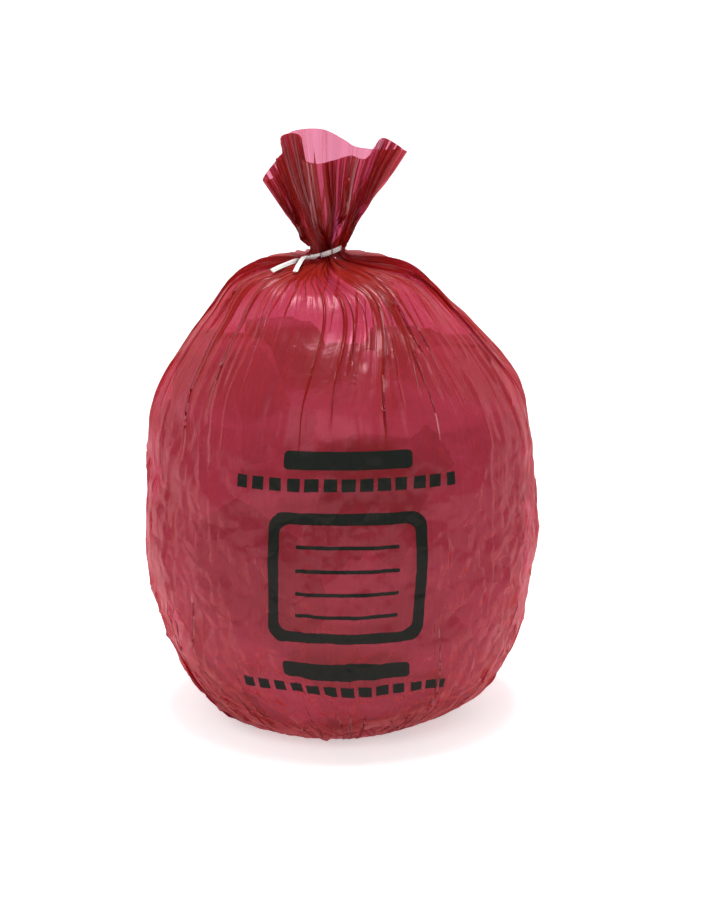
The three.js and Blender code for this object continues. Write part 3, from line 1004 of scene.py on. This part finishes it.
# the stage, the lights and the camera
stage = {
    "floor": (0.9, 0.9, 0.9, 1), "glow": 0.5, "width": 9.0, "back": 3.2, "bend": 1.2, "bendSteps": 12,
    "height": 5.0, "front": 4.0, "sky": 0.3,
    # place, size, power
    "lights": {
        "topBox": ((0.0, -0.1, 2.5), (1.1, 0.8), 52),
        "frontBox": ((-0.4, -2.6, 2.3), (3.0, 2.0), 32),
        "leftBox": ((-1.9, 0.7, 0.9), (0.5, 1.8), 7),
        "rightBox": ((1.9, 0.7, 0.9), (0.5, 1.8), 7),
    },
}


def makeStage():
    bend = stage["bend"]
    outline = [(-stage["front"], 0), (stage["back"] - bend, 0)]
    for n in range(1, stage["bendSteps"] + 1):
        a = math.radians(n * 90 / stage["bendSteps"])
        outline.append((stage["back"] - bend + bend * math.sin(a), bend - bend * math.cos(a)))
    outline.append((stage["back"], stage["height"]))
    half = stage["width"] / 2
    vertices = np.array([(side * half, y, z) for y, z in outline for side in (-1, 1)])
    faces = [(2 * n, 2 * n + 1, 2 * n + 3, 2 * n + 2) for n in range(len(outline) - 1)]
    floor = makeObject("floor", vertices, faces)
    made, tree = newMaterial("pale floor")
    skin = addNode(tree, "ShaderNodeBsdfPrincipled", {"Base Color": stage["floor"], "Roughness": 0.9})
    skin.inputs["Emission Color"].default_value = (1, 1, 1, 1)
    skin.inputs["Emission Strength"].default_value = stage["glow"]
    addNode(tree, "ShaderNodeOutputMaterial", {0: skin.outputs[0]})
    floor.data.materials.append(made)


def addLight(name, place, size, power):
    data = bpy.data.lights.new(name, "AREA")
    data.shape = "RECTANGLE"
    data.size, data.size_y = size
    data.energy = power
    light = bpy.data.objects.new(name, data)
    light.location = place
    aim = Vector((0, 0, 0.3))
    light.rotation_euler = (aim - Vector(place)).to_track_quat("-Z", "Y").to_euler()
    bpy.context.scene.collection.objects.link(light)


view = {
    "target": (0, 0, 0.290), "elevation": 13, "distance": 2.2, "lens": 88.68,
    "right": 0.0189, "up": -0.0258,
}


def makeCamera():
    data = bpy.data.cameras.new("camera")
    data.lens = view["lens"]
    data.sensor_width = 36
    camera = bpy.data.objects.new("camera", data)
    tilt = math.radians(view["elevation"])
    back = Vector((0, -math.cos(tilt), math.sin(tilt)))
    up = Vector((0, math.sin(tilt), math.cos(tilt)))
    place = Vector(view["target"]) + back * view["distance"] + up * view["up"] + Vector((view["right"], 0, 0))
    camera.location = place
    camera.rotation_euler = (-back).to_track_quat("-Z", "Y").to_euler()
    bpy.context.scene.collection.objects.link(camera)
    bpy.context.scene.camera = camera


makeStage()
makeCamera()
for name, (place, size, power) in stage["lights"].items():
    addLight(name, place, size, power)
world = bpy.data.worlds.new("studio")
world.use_nodes = True
world.node_tree.nodes["Background"].inputs[0].default_value = (1, 1, 1, 1)
world.node_tree.nodes["Background"].inputs[1].default_value = stage["sky"]
scene = bpy.context.scene
scene.world = world
scene.view_settings.view_transform = "Standard"
scene.cycles.max_bounces = 5
scene.cycles.transparent_max_bounces = 16
print("stage: ready")
